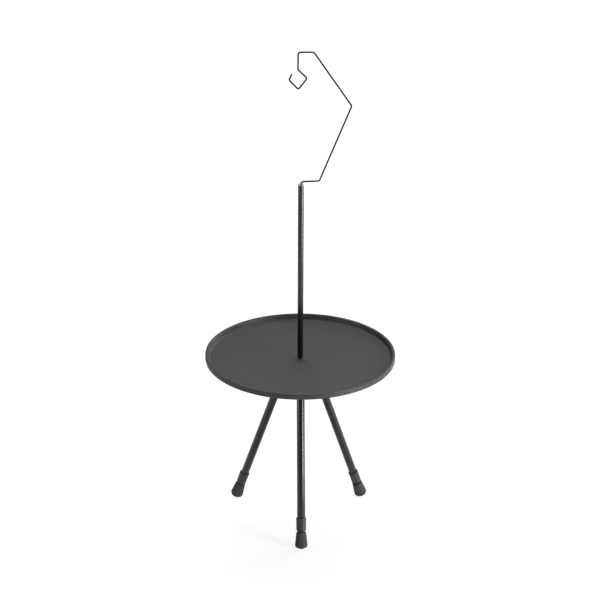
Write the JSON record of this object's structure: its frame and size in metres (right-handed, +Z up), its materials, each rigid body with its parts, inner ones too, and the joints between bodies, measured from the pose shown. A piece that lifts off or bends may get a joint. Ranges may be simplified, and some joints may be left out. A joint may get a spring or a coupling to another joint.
{
  "type": "portable round table",
  "caption": "Round camp tray table on splayed telescopic legs with twist locks, with a screw-in centre pole that carries a turning wire hook for a lantern.",
  "frame": {"origin": "on the ground, on the axis of the pole and the tray", "axes": "+Z up along the pole, -Y towards the front leg, +X the side that the hook's arm leans to"},
  "size_m": [0.52, 0.52, 1.3649],
  "materials": {
    "tray": "matte black powder coat",
    "hub": "casting, black powder coat",
    "tube": "black anodised",
    "end_plug": "bare turned",
    "wire": "black coated steel wire",
    "steel": "zinc plated",
    "nylon": "moulded, satin",
    "acetal": "moulded",
    "rubber": "moulded, matte"
  },
  "bodies": {
    "table": {"tray": "tray", "leg_hub": "hub", "tray_stud_1": "steel", "tray_stud_2": "steel", "tray_stud_3": "steel", "hub_nut_1": "steel", "hub_nut_2": "steel", "hub_nut_3": "steel"},
    "pole": {"pole": "tube", "pole_screw_plug": "tube"},
    "top_plug": {"pole_top_plug": "end_plug"},
    "hook": {"lantern_hook": "wire"},
    "leg_1": {"leg_plug_1": "tube", "leg_tube_1": "tube", "leg_collet_1": "acetal"},
    "collar_1": {"twist_collar_1": "nylon"},
    "inner_leg_1": {"inner_tube_1": "tube", "guide_bush_1": "acetal", "rubber_foot_1": "rubber"},
    "leg_2": {"leg_plug_2": "tube", "leg_tube_2": "tube", "leg_collet_2": "acetal"},
    "collar_2": {"twist_collar_2": "nylon"},
    "inner_leg_2": {"inner_tube_2": "tube", "guide_bush_2": "acetal", "rubber_foot_2": "rubber"},
    "leg_3": {"leg_plug_3": "tube", "leg_tube_3": "tube", "leg_collet_3": "acetal"},
    "collar_3": {"twist_collar_3": "nylon"},
    "inner_leg_3": {"inner_tube_3": "tube", "guide_bush_3": "acetal", "rubber_foot_3": "rubber"}
  },
  "joints": [
    {"name": "pole_unscrew", "type": "slide", "parent": "table", "child": "pole", "axis": [0, 0, 1], "range_m": [0, 0.028]},
    {"name": "top_plug_pull", "type": "slide", "parent": "pole", "child": "top_plug", "axis": [0, 0, 1], "range_m": [0, 0.036]},
    {"name": "hook_turn", "type": "hinge", "parent": "top_plug", "child": "hook", "pos_m": [0, 0, 0.9935], "axis": [0, 0, 1], "continuous": true},
    {"name": "leg_1_unscrew", "type": "slide", "parent": "table", "child": "leg_1", "axis": [0, -0.342, -0.9397], "range_m": [0, 0.018]},
    {"name": "collar_1_twist", "type": "hinge", "parent": "leg_1", "child": "collar_1", "pos_m": [0, -0.042, 0.4525], "axis": [0, -0.342, -0.9397], "range_deg": [0, 120]},
    {"name": "leg_1_extend", "type": "slide", "parent": "leg_1", "child": "inner_leg_1", "axis": [0, -0.342, -0.9397], "range_m": [0, 0.26]},
    {"name": "leg_2_unscrew", "type": "slide", "parent": "table", "child": "leg_2", "axis": [0.2962, 0.171, -0.9397], "range_m": [0, 0.018]},
    {"name": "collar_2_twist", "type": "hinge", "parent": "leg_2", "child": "collar_2", "pos_m": [0.03637, 0.021, 0.4525], "axis": [0.2962, 0.171, -0.9397], "range_deg": [0, 120]},
    {"name": "leg_2_extend", "type": "slide", "parent": "leg_2", "child": "inner_leg_2", "axis": [0.2962, 0.171, -0.9397], "range_m": [0, 0.26]},
    {"name": "leg_3_unscrew", "type": "slide", "parent": "table", "child": "leg_3", "axis": [-0.2962, 0.171, -0.9397], "range_m": [0, 0.018]},
    {"name": "collar_3_twist", "type": "hinge", "parent": "leg_3", "child": "collar_3", "pos_m": [-0.03637, 0.021, 0.4525], "axis": [-0.2962, 0.171, -0.9397], "range_deg": [0, 120]},
    {"name": "leg_3_extend", "type": "slide", "parent": "leg_3", "child": "inner_leg_3", "axis": [-0.2962, 0.171, -0.9397], "range_m": [0, 0.26]}
  ]
}
